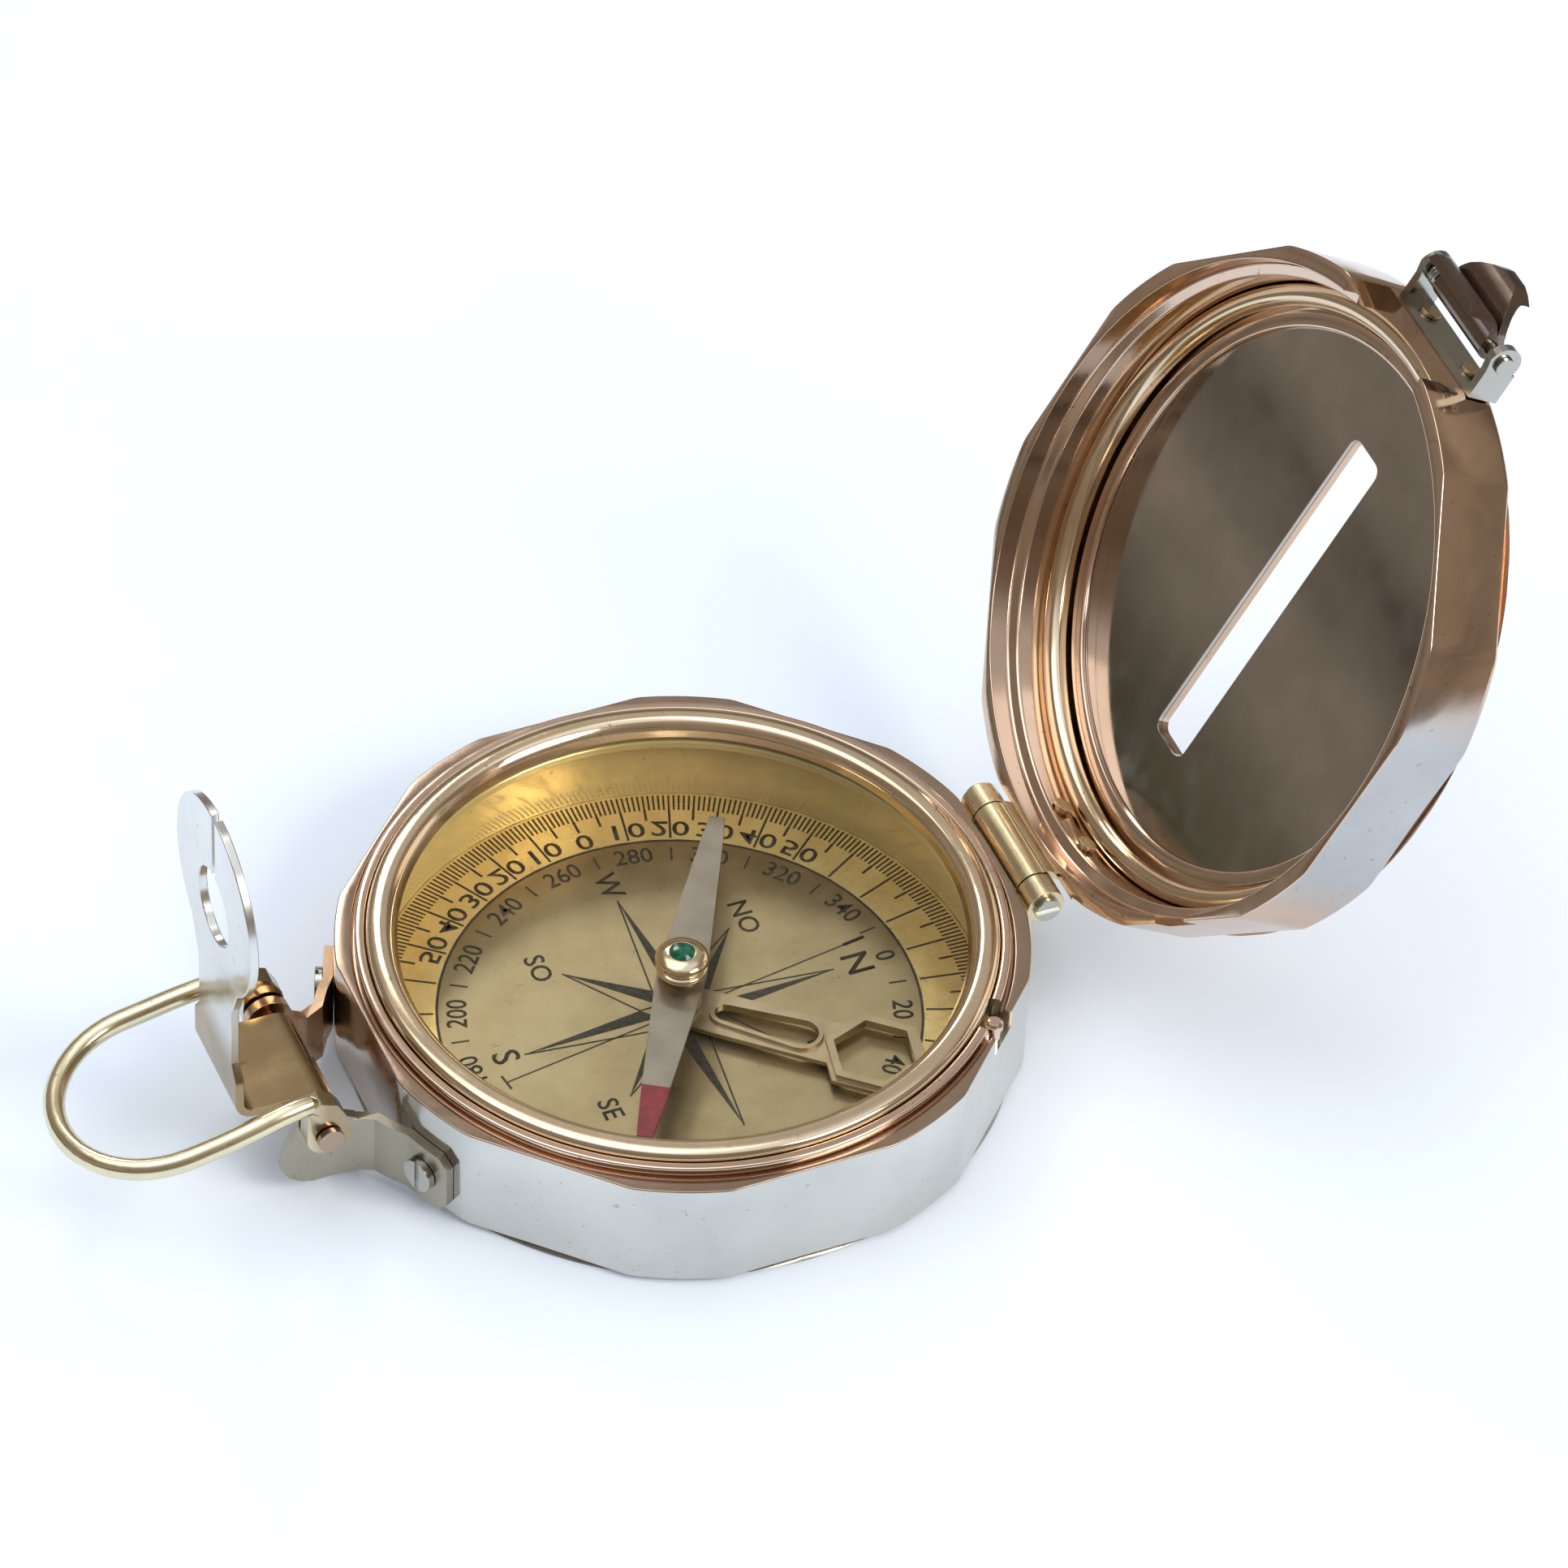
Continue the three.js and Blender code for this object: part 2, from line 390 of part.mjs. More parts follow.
latchRivetY.forEach((y, i) => {
  const rod = (r, from, to) => rodOut(r, 180, LATCH_RIVET.z, from, to);
  const rivet = rod(RIVET.r, 34.9, 38).add(rod(1.2, FLAT_A + 0.97, 38.2));
  add(`latch_rivet_${i + 1}`, openLid(atY(rivet, y)), 'brass');
});
add('latch_pin', openLid(rodY(0.75, LATCH.x, LATCH.z, LATCH.y - 9, LATCH.y + 9)
  .add(rodY(1.15, LATCH.x, LATCH.z, LATCH.y - 9.1, LATCH.y - LATCH.half - 0.02))
  .add(rodY(1.15, LATCH.x, LATCH.z, LATCH.y + LATCH.half + 0.02, LATCH.y + 9.1))), 'brass');
// Lever: a barrel round the pin, with a curled thumb piece and a pawl bent from sheet. Seen from
// above it is one round-ended lobe.
const leverY = [LATCH.y - LEVER.half, LATCH.y + LEVER.half];
const thumbLine = [[-42.2, 23.3], [-43.9, 22.9], [-45.6, 23.2], [-46.8, 24.4], [-46.9, 25.9]];
const pawlLine = [[-42.2, 21.9], [-43.6, 21.6], [-44.6, 20.4], [-44.9, 19], [-45, 17.6]];
const leverPlan = [[-38, -LEVER.half], ...arcPoints(-42, 0, LEVER.half, 270, 90, 14),
  [-38, LEVER.half]];
const leverSheets = [thumbLine, pawlLine].map((points) => ribbon(points, LEVER.sheet, 10));
const lever = leverSheets.reduce((shape, outline) => shape.add(sidePlate(outline, ...leverY)),
  rodY(1.55, LATCH.x, LATCH.z, ...leverY));
add('latch_lever', openLid(lever
  .intersect(prism(leverPlan, 16, 28).translate([0, LATCH.y, 0]))
  .subtract(latchBore)), 'brass');
const coil = Array.from({ length: 37 }, (_, i) => {
  const t = i * 30 * RAD;
  return [LATCH.x + 1.25 * Math.cos(t), LATCH.y + 6 + (1.25 * i) / 36, LATCH.z + 1.25 * Math.sin(t)];
});
add('latch_spring', openLid(wire(coil, 0.19, 40, 6)), 'steel');

export default group;
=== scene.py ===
import json
import math

import bmesh
import bpy
from mathutils import Matrix, Vector


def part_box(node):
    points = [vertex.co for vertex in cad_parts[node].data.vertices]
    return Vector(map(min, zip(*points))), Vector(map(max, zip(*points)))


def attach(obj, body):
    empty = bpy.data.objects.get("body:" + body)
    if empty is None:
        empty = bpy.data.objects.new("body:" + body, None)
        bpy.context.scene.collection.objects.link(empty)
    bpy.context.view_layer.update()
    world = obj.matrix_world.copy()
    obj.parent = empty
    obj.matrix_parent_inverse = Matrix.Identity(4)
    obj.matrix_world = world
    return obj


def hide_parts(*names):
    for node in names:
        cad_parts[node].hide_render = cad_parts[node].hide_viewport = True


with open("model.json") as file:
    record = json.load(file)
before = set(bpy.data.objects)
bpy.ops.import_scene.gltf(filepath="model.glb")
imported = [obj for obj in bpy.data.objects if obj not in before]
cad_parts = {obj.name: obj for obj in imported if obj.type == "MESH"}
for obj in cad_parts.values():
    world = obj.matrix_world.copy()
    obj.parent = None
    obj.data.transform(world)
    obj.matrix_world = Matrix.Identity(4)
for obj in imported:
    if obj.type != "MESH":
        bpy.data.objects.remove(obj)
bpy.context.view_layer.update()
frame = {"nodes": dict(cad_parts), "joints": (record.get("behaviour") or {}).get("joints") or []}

NODES = frame["nodes"]
MM = 0.001
TAU = 2 * math.pi

# ---- sizes taken from the frame ---------------------------------------------------------------
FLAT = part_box("case_shell")[1].x / MM  # centre to each milled flat
CASE_R = 38.0  # the round parts between the flats
DIAL_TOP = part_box("dial_plate")[1].z / MM
RING_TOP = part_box("scale_ring")[1].z / MM
HINGES = {joint["name"]: joint for joint in frame["joints"]}
LOOP_EYE_X = HINGES["loop_hinge"]["pos_m"][0]  # the wire is duller round its eyes
LID_HINGE = HINGES["lid_hinge"]
LID_PIVOT = Vector(LID_HINGE["pos_m"])
LID_ANGLE = -math.radians(LID_HINGE["range_deg"][0])
# The lid's pieces are drawn shut and then swung open, as the frame has them.
OPENED = (
    Matrix.Translation(LID_PIVOT)
    @ Matrix.Rotation(LID_ANGLE, 4, "Y")
    @ Matrix.Translation(-LID_PIVOT)
)


# ---- materials ----------------------------------------------------------------------------------
class Shader:
    """A node material or world: node() adds a node, sets or links its inputs, and returns it."""

    def __init__(self, name, world=None):
        self.material = world or bpy.data.materials.new(name)
        self.material.use_nodes = True
        self.tree = self.material.node_tree
        self.tree.nodes.clear()
        space = "Generated" if world else "Object"
        self.place = self.node("ShaderNodeTexCoord").outputs[space]

    def along(self, axis):
        return self.node("ShaderNodeSeparateXYZ", {"Vector": self.place}).outputs[axis]

    def node(self, kind, inputs=None, **settings):
        made = self.tree.nodes.new(kind)
        for key, value in settings.items():
            setattr(made, key, value)
        for key, value in (inputs or {}).items():
            socket = made.inputs[key]
            if isinstance(value, bpy.types.NodeSocket):
                self.tree.links.new(value, socket)
            else:
                socket.default_value = value
        return made

    def noise(self, scale, detail=3.0, roughness=0.55, stretch=None, distortion=0.0):
        vector = self.place
        if stretch:
            mapping = self.node("ShaderNodeMapping", {"Vector": vector, "Scale": stretch})
            vector = mapping.outputs["Vector"]
        inputs = {
            "Vector": vector,
            "Scale": scale,
            "Detail": detail,
            "Roughness": roughness,
            "Distortion": distortion,
        }
        return self.node("ShaderNodeTexNoise", inputs).outputs["Fac"]

    def ramp(self, factor, *stops):
        """A colour ramp through (position, colour) stops; colours are linear RGB."""
        made = self.node("ShaderNodeValToRGB", {"Fac": factor})
        elements = made.color_ramp.elements
        while len(elements) < len(stops):
            elements.new(0.5)
        for element, (position, colour) in zip(elements, stops):
            element.position = position
            element.color = (*colour, 1)
        return made.outputs["Color"]

    def span(self, value, low, high, to_low, to_high):
        inputs = {"Value": value, "From Min": low, "From Max": high, "To Min": to_low}
        inputs["To Max"] = to_high
        return self.node("ShaderNodeMapRange", inputs).outputs["Result"]

    def mix(self, factor, a, b):
        made = self.node("ShaderNodeMix", data_type="RGBA")
        for index, value in ((0, factor), (6, a), (7, b)):  # the colour sockets of a mix node
            socket = made.inputs[index]
            if isinstance(value, bpy.types.NodeSocket):
                self.tree.links.new(value, socket)
            else:
                socket.default_value = (*value, 1) if index else value
        return made.outputs[2]

    def bump(self, height, strength, distance, normal=None):
        inputs = {"Height": height, "Strength": strength, "Distance": distance}
        if normal is not None:
            inputs["Normal"] = normal
        return self.node("ShaderNodeBump", inputs).outputs["Normal"]

    def surface(self, **inputs):
        named = {key.replace("_", " "): value for key, value in inputs.items()}
        principled = self.node("ShaderNodeBsdfPrincipled", named)
        self.output(principled.outputs["BSDF"])
        return self.material

    def output(self, shader):
        self.node("ShaderNodeOutputMaterial", {"Surface": shader})


def tarnish(shader, colour):
    """Brass tone drifting over centimetres, with small darker age spots."""
    low = tuple(0.82 * c for c in colour)
    drift = shader.ramp(shader.noise(55, 4), (0.3, low), (0.7, colour))
    spots = shader.span(shader.noise(900, 2, 0.7), 0.66, 0.76, 0, 0.55)
    stain = tuple(c * f for c, f in zip(colour, (0.42, 0.33, 0.26)))
    return shader.mix(spots, drift, stain)


def brass(name, colour, roughness=(0.07, 0.2), scratches=0.05, stretch=(9000, 350, 350)):
    """Polished brass: tarnish, wiping smears in the gloss and hairline scratches."""
    shader = Shader(name)
    smears = shader.noise(160, 5, 0.6, distortion=0.6)
    hairlines = shader.noise(1, 2, 0.6, stretch=stretch)
    swirls = shader.noise(1, 2, 0.6, stretch=(stretch[1], stretch[0], stretch[2]))
    fine = shader.bump(hairlines, scratches, 0.00003)
    return shader.surface(
        Base_Color=tarnish(shader, colour),
        Metallic=1.0,
        Roughness=shader.span(smears, 0.3, 0.75, *roughness),
        Normal=shader.bump(swirls, scratches, 0.00003, fine),
    )


def two_tone(name, low_tone, high_tone, axis, turn, roughness=(0.08, 0.22), metallic=1.0):
    """Brass in one tone below a place on an axis (in metres) and another above it. On the case and
    lid walls the split is a painted reflection of the pale floor, and on the gold lining it is
    painted light. The face is not quite flat, so its reflections waver."""
    shader = Shader(name)
    share = shader.span(shader.along(axis), *turn, 0, 1)
    tone = shader.mix(share, tarnish(shader, low_tone), tarnish(shader, high_tone))
    smears = shader.noise(120, 5, 0.6, distortion=0.8)
    hairlines = shader.noise(1, 2, 0.6, stretch=(400, 400, 9000))
    waves = shader.bump(shader.noise(75, 2, 0.4, distortion=0.5), 0.5, 0.0006)
    return shader.surface(
        Base_Color=tone,
        Metallic=metallic,
        Roughness=shader.span(smears, 0.3, 0.75, *roughness),
        Normal=shader.bump(hairlines, 0.05, 0.00003, waves),
    )


def satin_brass(name, colour, shade, roughness=(0.3, 0.45), metallic=0.75):
    """Dial metal: brushed one way, mottled by age under its glass."""
    shader = Shader(name)
    mottle = shader.ramp(shader.noise(140, 6, 0.65), (0.32, shade), (0.6, colour))
    grime = shader.span(shader.noise(1600, 3, 0.7), 0.62, 0.8, 0, 0.45)
    tone = shader.mix(grime, mottle, tuple(0.45 * c for c in shade))
    grain = shader.noise(1, 2, 0.6, stretch=(300, 14000, 300))
    return shader.surface(
        Base_Color=tone,
        Metallic=metallic,
        Roughness=shader.span(shader.noise(300, 4), 0.3, 0.7, *roughness),
        Normal=shader.bump(grain, 0.12, 0.00004),
    )


def sheet_metal(name, colour, roughness=(0.3, 0.42)):
    """Rolled sheet or wire with a faint grain and a slightly uneven tone."""
    shader = Shader(name)
    tone = shader.ramp(
        shader.noise(260, 5), (0.3, tuple(0.78 * c for c in colour)), (0.7, colour)
    )
    grain = shader.noise(1, 2, 0.6, stretch=(6000, 3000, 500))
    return shader.surface(
        Base_Color=tone,
        Metallic=1.0,
        Roughness=shader.span(shader.noise(500, 4), 0.3, 0.7, *roughness),
        Normal=shader.bump(grain, 0.08, 0.00003),
    )


def lacquer(name, colour):
    """Hand-brushed paint, slightly uneven and worn thin in places."""
    shader = Shader(name)
    worn = tuple(0.62 * c for c in colour)
    tone = shader.ramp(shader.noise(700, 5, 0.65), (0.32, worn), (0.62, colour))
    return shader.surface(
        Base_Color=tone,
        Roughness=shader.span(shader.noise(900, 3), 0.3, 0.7, 0.32, 0.55),
        Normal=shader.bump(shader.noise(1800, 3), 0.25, 0.00004),
    )


def ink(name):
    """Dark filling of the engraved marks, broken up where it has flaked."""
    shader = Shader(name)
    tone = shader.ramp(
        shader.noise(1500, 4, 0.7), (0.35, (0.018, 0.014, 0.009)), (0.75, (0.075, 0.055, 0.03))
    )
    return shader.surface(
        Base_Color=tone,
        Roughness=shader.span(shader.noise(900, 3), 0.3, 0.7, 0.45, 0.7),
        Normal=shader.bump(shader.noise(3000, 3), 0.2, 0.00002),
    )


def mirror_glass(name):
    """Silvering gone brown-grey, with faint clouding and dust."""
    shader = Shader(name)
    cloud = shader.ramp(
        shader.noise(70, 5, 0.6), (0.3, (0.47, 0.42, 0.38)), (0.72, (0.58, 0.53, 0.48))
    )
    dust = shader.span(shader.noise(2500, 3, 0.7), 0.68, 0.8, 0, 0.4)
    return shader.surface(
        Base_Color=shader.mix(dust, cloud, (0.3, 0.27, 0.24)),
        Metallic=1.0,
        Roughness=shader.span(shader.noise(200, 5), 0.3, 0.8, 0.03, 0.12),
    )


def window_glass(name):
    """Thin clear pane: see-through, with a Fresnel gloss and faint wiping marks."""
    shader = Shader(name)
    smears = shader.span(shader.noise(130, 5, 0.6, distortion=1.0), 0.4, 0.8, 0.01, 0.06)
    gloss = shader.node("ShaderNodeBsdfGlossy", {"Roughness": smears})
    tint = shader.ramp(shader.noise(60, 3), (0.3, (0.97, 0.99, 0.98)), (0.7, (1.0, 1.0, 0.995)))
    clear = shader.node("ShaderNodeBsdfTransparent", {"Color": tint})
    edge = shader.node("ShaderNodeFresnel", {"IOR": 1.15}).outputs["Fac"]
    inside = shader.node("ShaderNodeNewGeometry").outputs["Backfacing"]
    sheen = shader.span(inside, 0, 1, edge, 0)  # only the outer faces shine
    inputs = {0: sheen, 1: clear.outputs["BSDF"], 2: gloss.outputs["BSDF"]}
    shader.output(shader.node("ShaderNodeMixShader", inputs).outputs["Shader"])
    return shader.material


def jewel_glass(name):
    shader = Shader(name)
    depth = shader.ramp(
        shader.noise(1800, 3), (0.3, (0.001, 0.03, 0.016)), (0.7, (0.006, 0.16, 0.085))
    )
    return shader.surface(
        Base_Color=depth,
        Roughness=shader.span(shader.noise(2500, 2), 0.3, 0.7, 0.04, 0.12),
        Coat_Weight=0.15,
    )


def floor_paint(name):
    shader = Shader(name)
    tone = shader.ramp(
        shader.noise(6, 3), (0.3, (0.86, 0.90, 0.95)), (0.7, (0.89, 0.92, 0.96))
    )
    return shader.surface(
        Base_Color=tone,
        Roughness=shader.span(shader.noise(9, 3), 0.3, 0.7, 0.6, 0.8),
    )


BRASS = brass("polished_brass", (0.86, 0.70, 0.50))
LOOP_BRASS = two_tone("wire_brass", (0.86, 0.77, 0.53), (0.46, 0.35, 0.22), "X",
                      (LOOP_EYE_X - 0.003, LOOP_EYE_X), (0.14, 0.3))
HINGE_BRASS = brass("hinge_brass", (0.80, 0.68, 0.45), (0.16, 0.34), 0.15)
OLD_BRASS = brass("worn_brass", (0.70, 0.55, 0.34), (0.16, 0.34), 0.15)
PALE_BRASS = brass("pale_brass", (0.52, 0.51, 0.46), (0.1, 0.26), 0.1)
ROSE = brass("rose_brass", (0.79, 0.60, 0.47), (0.07, 0.18))
# Bright yellow on the -X side and duller towards +X: painted light on the lining and glass seat.
GOLD_PAINTED_LIGHT = two_tone("gold_lining_painted_light", (1.0, 0.74, 0.27), (0.72, 0.53, 0.24), "X", (-0.03, 0.02),
                (0.12, 0.25), 0.3)
BAND = brass("band_brass", (0.46, 0.34, 0.26), (0.1, 0.24))
BROWN = brass("browned_brass", (0.25, 0.19, 0.16), (0.14, 0.3))
# Silver towards the front (-Y) and rose behind: the silver is a painted reflection of the pale
# floor.
CASE_WALL_PAINTED_REFLECTION = two_tone("case_wall_painted_reflection", (0.68, 0.675, 0.64), (0.72, 0.54, 0.40), "Y", (-0.012, 0.012))
# Silver towards the front (-Y) and rose above: the silver is a painted reflection of the pale
# floor.
LID_WALL_PAINTED_REFLECTION = two_tone("lid_wall_painted_reflection", (0.50, 0.51, 0.515), (0.72, 0.52, 0.38), "Y", (-0.037, -0.034))
STRAP = two_tone("strap_brass", (0.42, 0.39, 0.31), (0.62, 0.42, 0.28), "Y", (-0.006, 0.004),
                 (0.2, 0.36))
VANE = two_tone("vane_brass", (0.40, 0.29, 0.16), (0.78, 0.77, 0.74), "Z", (0.0185, 0.0235),
                (0.14, 0.3))
DIAL = satin_brass("dial_brass", (0.47, 0.375, 0.22), (0.40, 0.31, 0.175), (0.27, 0.35), 0.9)
SCALE = satin_brass("scale_brass", (0.95, 0.72, 0.32), (0.80, 0.58, 0.22), (0.22, 0.36), 0.6)
STAMPED = sheet_metal("stamped_brass", (0.56, 0.45, 0.29))
NEEDLE = sheet_metal("needle_steel", (0.37, 0.325, 0.275))
SPRING = sheet_metal("spring_steel", (0.62, 0.60, 0.56), (0.2, 0.35))
RED = lacquer("needle_red", (0.26, 0.02, 0.028))
INK = ink("engraving_ink")
MIRROR = mirror_glass("old_mirror")
PANE = window_glass("window_glass")
JEWEL = jewel_glass("green_jewel")
FLOOR = floor_paint("pale_floor")


# ---- mesh helpers -------------------------------------------------------------------------------
CREASE = math.radians(32)  # a sharper turn than this keeps its edge


def softened(outline, default=0.12, steps=4):
    """Closed outline of (r, z) or (r, z, radius) corners, each rounded by a short curve."""
    points = []
    count = len(outline)
    for i, corner in enumerate(outline):
        here = Vector(corner[:2])
        before = Vector(outline[i - 1][:2])
        after = Vector(outline[(i + 1) % count][:2])
        radius = corner[2] if len(corner) > 2 else default
        back = min(radius, 0.45 * (before - here).length)
        on = min(radius, 0.45 * (after - here).length)
        if here.x == 0 or radius == 0:
            points.append(here)
            continue
        start = here + (before - here).normalized() * back
        end = here + (after - here).normalized() * on
        for k in range(steps + 1):
            t = k / steps
            points.append((1 - t) ** 2 * start + 2 * t * (1 - t) * here + t * t * end)
    return points


def wall_limit(angle):
    """Distance in mm from the axis to the eight flats at this angle, in radians."""
    off = (angle + TAU / 16) % (TAU / 8) - TAU / 16
    return FLAT / math.cos(off)


def trimmed(radius, angle):
    """A radius after milling: the outer corner's rounding follows the flats inwards."""
    limit = wall_limit(angle)
    if radius > CASE_R - 1.01:
        return min(radius, limit - (CASE_R - radius))
    return min(radius, limit)


def shade(mesh):
    """Smooth shading, except across a crease."""
    mesh.polygons.foreach_set("use_smooth", [True] * len(mesh.polygons))
    mesh.set_sharp_from_angle(angle=CREASE)


def piece(name, mesh, body, materials, replaces=(), place=None):
    """Links a mesh as a piece that rides on a body, with the given materials."""
    if place is not None:
        mesh.transform(place)
    for material in materials:
        mesh.materials.append(material)
    made = bpy.data.objects.new(name, mesh)
    bpy.context.scene.collection.objects.link(made)
    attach(made, body)
    if replaces:
        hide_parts(*replaces)
    return made


def mesh_from(bm, name):
    bmesh.ops.recalc_face_normals(bm, faces=bm.faces)
    mesh = bpy.data.meshes.new(name)
    bm.to_mesh(mesh)
    bm.free()
    return mesh


def lathe(name, outline, steps=240, flats=False, finish=None):
    """A turned solid from a closed outline in mm. finish(r, z) picks a face's material."""
    bm = bmesh.new()
    rings = []
    for i in range(steps):
        angle = TAU * i / steps
        cosine, sine = math.cos(angle), math.sin(angle)
        ring = []
        for point in outline:
            radius = trimmed(point.x, angle) if flats else point.x
            ring.append(bm.verts.new((radius * cosine * MM, radius * sine * MM, point.y * MM)))
        rings.append(ring)
    count = len(outline)
    for i in range(steps):
        here, there = rings[i], rings[(i + 1) % steps]
        for k in range(count):
            n = (k + 1) % count
            if outline[k].x == 0 and outline[n].x == 0:
                continue
            face = bm.faces.new((here[k], there[k], there[n], here[n]))
            if finish:
                middle = (outline[k] + outline[n]) / 2
                face.material_index = finish(middle.x, middle.y)
    bmesh.ops.remove_doubles(bm, verts=bm.verts, dist=1e-7)
    return mesh_from(bm, name)


def turned(name, outline, body, material, replaced, place=None, steps=240):
    """A plain turned piece of one material that stands in for one CAD node."""
    mesh = lathe(name, outline, steps)
    shade(mesh)
    piece(name, mesh, body, [material], [replaced], place)


def block(low, high, place=None):
    """A box between two corners in mm, as a mesh."""
    bm = bmesh.new()
    middle = (Vector(low) + Vector(high)) / 2 * MM
    size = (Vector(high) - Vector(low)) * MM
    bmesh.ops.create_cube(
        bm, size=1, matrix=Matrix.Translation(middle) @ Matrix.Diagonal((*size, 1))
    )
    if place is not None:
        bm.transform(place)
    return mesh_from(bm, "cutter")


def slab(bm, points, low, high):
    """Adds a flat outline in mm, raised from low to high, as a closed solid."""
    floor = [bm.verts.new((x * MM, y * MM, low * MM)) for x, y in points]
    roof = [bm.verts.new((x * MM, y * MM, high * MM)) for x, y in points]
    bm.faces.new(list(reversed(floor)))
    bm.faces.new(roof)
    for i in range(len(points)):
        k = (i + 1) % len(points)
        bm.faces.new((floor[i], floor[k], roof[k], roof[i]))


def carved(mesh, *cutters):
    """The mesh with each cutter taken away."""
    body = bpy.data.objects.new("carving", mesh)
    bpy.context.scene.collection.objects.link(body)
    tools = []
    for cutter in cutters:
        tool = bpy.data.objects.new("cutter", cutter)
        bpy.context.scene.collection.objects.link(tool)
        tools.append(tool)
        cut = body.modifiers.new("cut", "BOOLEAN")
        cut.operation = "DIFFERENCE"
        cut.solver = "EXACT"
        cut.object = tool
    graph = bpy.context.evaluated_depsgraph_get()
    result = bpy.data.meshes.new_from_object(body.evaluated_get(graph), depsgraph=graph)
    for thing in (body, *tools):
        bpy.data.objects.remove(thing)
    shade(result)
    return result


# ---- case ---------------------------------------------------------------------------------------
LIFTER_HEADING = -42
NOTCH_IN, NOTCH_OUT, NOTCH_HALF = 34.65, 39.5, 2.3  # the lifter pin's notch: radii, half width
WALL_TOP = 14.4  # the flat band round the collar
COLLAR_R, COLLAR_FOOT, COLLAR_TOP = 35.8, 13.9, 15.6
SEAT_R, SEAT_STEP = 34.7, 12.15  # wider mouth of the bore, and the step that ends it
BORE_R, CASE_FLOOR = 34.3, 1.5
WALL, INSIDE, COLLAR, FLAT_BAND = 0, 1, 2, 3  # material slots of the case's and lid's bodies


def case_finish(radius, height):
    if height < 0.05 or (radius > CASE_R - 1.1 and height < WALL_TOP - 0.2):
        return WALL
    if radius < BORE_R + 0.05:
        return INSIDE
    return FLAT_BAND if radius > COLLAR_R + 0.1 else COLLAR


def lifter_notch(low, high):
    corners = (NOTCH_IN, -NOTCH_HALF, low), (NOTCH_OUT, NOTCH_HALF, high)
    return block(*corners, Matrix.Rotation(math.radians(LIFTER_HEADING), 4, "Z"))


def build_case():
    groove = COLLAR_R + 0.25
    outline = softened([
        (0, 0), (CASE_R - 0.8, 0, 0.4), (CASE_R, 0.8, 0.4), (CASE_R, WALL_TOP, 0.16),
        (groove + 0.2, WALL_TOP), (groove, COLLAR_FOOT, 0.05), (COLLAR_R, COLLAR_FOOT, 0.05),
        (COLLAR_R, COLLAR_TOP, 0.3), (SEAT_R, COLLAR_TOP, 0.3), (SEAT_R, SEAT_STEP, 0.05),
        (BORE_R, SEAT_STEP), (BORE_R, CASE_FLOOR, 0.05), (0, CASE_FLOOR),
    ])
    mesh = lathe("case_body", outline, 360, flats=True, finish=case_finish)
    mesh = carved(mesh, lifter_notch(11.8, 20))
    finishes = [CASE_WALL_PAINTED_REFLECTION, GOLD_PAINTED_LIGHT, ROSE, BAND]
    piece("case_body", mesh, "case", finishes, ["case_shell"])

    bezel = softened([
        (31.1, 14.62, 0), (34.58, 14.62, 0), (34.58, 15.75, 0.3), (34.2, 16.3, 0.35),
        (33.2, 16.52, 0.5), (32.3, 16.45, 0.5), (31.7, 15.9, 0.3), (31.45, 15.5, 0.2),
    ])
    turned("bezel", bezel, "case", BRASS, "bezel_ring")


# ---- lid ----------------------------------------------------------------------------------------
SIGHT_SLOT = (21, 3.1, 1.3)  # half length, half width and corner radius
LEG_NOTCH = ((-42, -8.6, 10), (-33, 8.6, 20.6))  # clears the leg of the folded sight
LID_RIM, LID_TOP = 14.9, 25.2
LID_FLOOR = 24.3  # the face that the mirror lies on
RIM_BORE_R, LID_BORE_R = 36.1, 34.8
TRIM_FOOT = LID_FLOOR - 0.02  # the trim ring and the mirror's frame stand on the floor


def lid_finish(radius, height):
    if radius > CASE_R - 1.1 and LID_RIM + 0.2 < height < LID_TOP - 0.25:
        return WALL
    return INSIDE


def build_lid():
    outline = softened([
        (RIM_BORE_R, LID_RIM, 0.15), (CASE_R, LID_RIM, 0.16), (CASE_R, LID_TOP - 0.8, 0.5),
        (CASE_R - 0.9, LID_TOP, 0.5), (0, LID_TOP), (0, LID_FLOOR), (LID_BORE_R, LID_FLOOR, 0.05),
        (LID_BORE_R, 17.9, 0.3), (RIM_BORE_R, 17.4, 0.3),
    ])
    mesh = lathe("lid_body", outline, 360, flats=True, finish=lid_finish)
    slot = bmesh.new()
    slab(slot, rounded_bar(*SIGHT_SLOT), 20, 30)
    mesh = carved(mesh, mesh_from(slot, "cutter"), block(*LEG_NOTCH), lifter_notch(10, 17))
    piece("lid_body", mesh, "lid", [LID_WALL_PAINTED_REFLECTION, ROSE], ["lid_shell"], OPENED)

    ring = softened([
        (32.22, TRIM_FOOT, 0), (34.76, TRIM_FOOT, 0), (34.76, 21.7, 0.3), (34.3, 21.1, 0.4),
        (33.5, 20.95, 0.4), (32.8, 21.1, 0.4), (32.22, 21.8, 0.4),
    ])
    turned("lid_trim_ring", ring, "lid", BRASS, "lid_ring", OPENED)

    frame_outline = softened([
        (31.7, TRIM_FOOT, 0), (30.82, TRIM_FOOT, 0), (30.82, 23.66, 0.05), (30, 23.66, 0.05),
        (30.15, 23.15, 0.25), (31.7, 23.05, 0.1),
    ])
    turned("mirror_surround", frame_outline, "lid", ROSE, "mirror_frame", OPENED)


def rounded_bar(half_x, half_y, radius, steps=8):
    """Outline of a bar about the origin with rounded corners."""
    points = []
    for quarter, (side_x, side_y) in enumerate(((1, 1), (-1, 1), (-1, -1), (1, -1))):
        for k in range(steps + 1):
            angle = TAU / 4 * (quarter + k / steps)
            x = side_x * (half_x - radius) + radius * math.cos(angle)
            y = side_y * (half_y - radius) + radius * math.sin(angle)
            points.append((x, y))
    return points


